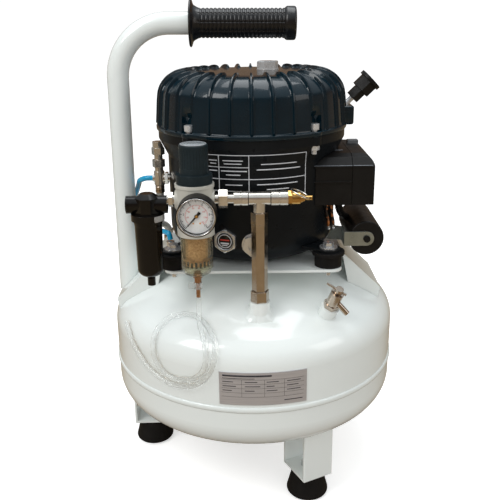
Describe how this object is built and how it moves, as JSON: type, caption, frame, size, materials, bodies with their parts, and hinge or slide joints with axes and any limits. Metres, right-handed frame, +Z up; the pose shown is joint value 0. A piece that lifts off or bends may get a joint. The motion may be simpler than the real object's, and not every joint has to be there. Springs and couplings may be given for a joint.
{
  "type": "airbrush compressor",
  "caption": "Quiet oil-bath motor-pump on a small round air receiver with a cranked carrying handle, filter-regulator with gauge, safety valve and drain fittings.",
  "frame": {"origin": "on the floor under the receiver's axis", "axes": "+Z up, +X to the right, -Y towards the front with the gauge"},
  "size_m": [0.342, 0.3428, 0.5556],
  "materials": {
    "white_paint": "gloss",
    "black_rubber": "matt",
    "zinc_steel": "zinc plated",
    "silver_plate": "satin",
    "black_casting": "satin",
    "dark_teal_casting": "gloss",
    "nickel": "nickel plated",
    "sight_window": "gloss",
    "black_plastic": "moulded",
    "lamination_steel": "laminated",
    "copper_winding": "enamelled",
    "cast_block": "as cast",
    "piston_alloy": "machined",
    "grey_plastic": "moulded",
    "lead_insulation": "pvc",
    "brass": "turned",
    "light_grey_cast": "satin",
    "dark_knob_plastic": "moulded",
    "dial_white": "printed",
    "needle_black": "gloss",
    "clear_lens": "clear",
    "clear_bowl": "clear polycarbonate",
    "sintered_element": "sintered",
    "clear_collar": "clear plastic",
    "black_filter": "gloss",
    "braided_clear": "braided",
    "blue_tube": "polyurethane",
    "clear_tube": "soft pvc"
  },
  "bodies": {
    "chassis": {"tank_upper_half": "white_paint", "tank_lower_half": "white_paint", "tank_bosses": "white_paint", "leg_brackets": "white_paint", "base_plate": "white_paint", "handle_tube": "white_paint", "rubber_feet": "black_rubber", "handle_grip": "black_rubber", "rubber_mounts": "black_rubber", "foot_bolts": "zinc_steel", "mount_bolts": "zinc_steel", "lid_bolts": "zinc_steel", "lid_plug": "zinc_steel", "capacitor_strap": "zinc_steel", "rating_plate": "silver_plate", "bowl_casing": "black_casting", "bowl_lugs": "black_casting", "lid_casing": "dark_teal_casting", "sight_glass_nut": "nickel", "sight_glass_lens": "sight_window", "oil_plug": "nickel", "intake_filter": "black_plastic", "stator_core": "lamination_steel", "stator_windings": "copper_winding", "pump_block": "cast_block", "switch_box": "black_plastic", "switch_box_cover": "black_plastic", "cable_gland": "black_plastic", "capacitor": "black_plastic", "lead_wires": "lead_insulation", "riser_tube": "nickel", "tee_fitting": "nickel", "line_couplings": "nickel", "hex_nipples": "nickel", "discharge_fittings": "nickel", "check_valve": "nickel", "drain_cock_body": "nickel", "safety_valve_body": "brass", "regulator_body": "light_grey_cast", "gauge_case": "black_plastic", "gauge_dial": "dial_white", "gauge_lens": "clear_lens", "regulator_bowl": "clear_bowl", "filter_element": "sintered_element", "regulator_drain": "brass", "filter_head": "black_filter", "filter_bowl": "black_filter", "braided_hose": "braided_clear", "blue_hose": "blue_tube", "clear_hose": "clear_tube"},
    "rotor": {"rotor_shaft": "lamination_steel"},
    "piston": {"piston_yoke": "piston_alloy"},
    "knob": {"regulator_knob": "dark_knob_plastic"},
    "needle": {"gauge_needle": "needle_black"},
    "valve_stem": {"safety_valve_stem": "brass"},
    "valve_ring": {"safety_valve_ring": "zinc_steel"},
    "collar": {"drain_collar": "clear_collar"},
    "filter_pin": {"filter_drain_pin": "black_filter"},
    "cock_lever": {"drain_cock_lever": "nickel"},
    "button": {"switch_button": "grey_plastic"}
  },
  "joints": [
    {"name": "rotor_spin", "type": "hinge", "parent": "chassis", "child": "rotor", "pos_m": [0, 0, 0.36], "axis": [0, 0, 1], "continuous": true},
    {"name": "piston_stroke", "type": "slide", "parent": "chassis", "child": "piston", "axis": [1, 0, 0], "range_m": [-0.008, 0.008]},
    {"name": "knob_turn", "type": "hinge", "parent": "chassis", "child": "knob", "pos_m": [-0.0588, -0.125, 0.39], "axis": [0, 0, 1], "range_deg": [-1080, 0]},
    {"name": "needle_turn", "type": "hinge", "parent": "chassis", "child": "needle", "pos_m": [-0.0552, -0.16, 0.3506], "axis": [0, 1, 0], "range_deg": [0, 270], "stiffness_Nm_per_rad": 0.0002},
    {"name": "valve_pull", "type": "slide", "parent": "chassis", "child": "valve_stem", "axis": [1, 0, 0], "range_m": [0, 0.0025], "stiffness_N_per_m": 2000, "springref_m": -0.002},
    {"name": "ring_swing", "type": "hinge", "parent": "valve_stem", "child": "valve_ring", "pos_m": [0.0582, -0.125, 0.359], "axis": [0, 1, 0], "range_deg": [0, 240]},
    {"name": "collar_turn", "type": "hinge", "parent": "chassis", "child": "collar", "pos_m": [-0.0588, -0.125, 0.264], "axis": [0, 0, 1], "range_deg": [0, 90]},
    {"name": "filter_drain_push", "type": "slide", "parent": "chassis", "child": "filter_pin", "axis": [0, 0, 1], "range_m": [0, 0.0025], "stiffness_N_per_m": 400, "springref_m": -0.001},
    {"name": "cock_turn", "type": "hinge", "parent": "chassis", "child": "cock_lever", "pos_m": [0.09095, -0.12737, 0.25744], "axis": [0.2853, -0.4004, 0.8708], "range_deg": [0, 180]},
    {"name": "button_press", "type": "slide", "parent": "chassis", "child": "button", "axis": [0, 0, 1], "range_m": [-0.003, 0], "stiffness_N_per_m": 600, "springref_m": 0.001}
  ]
}
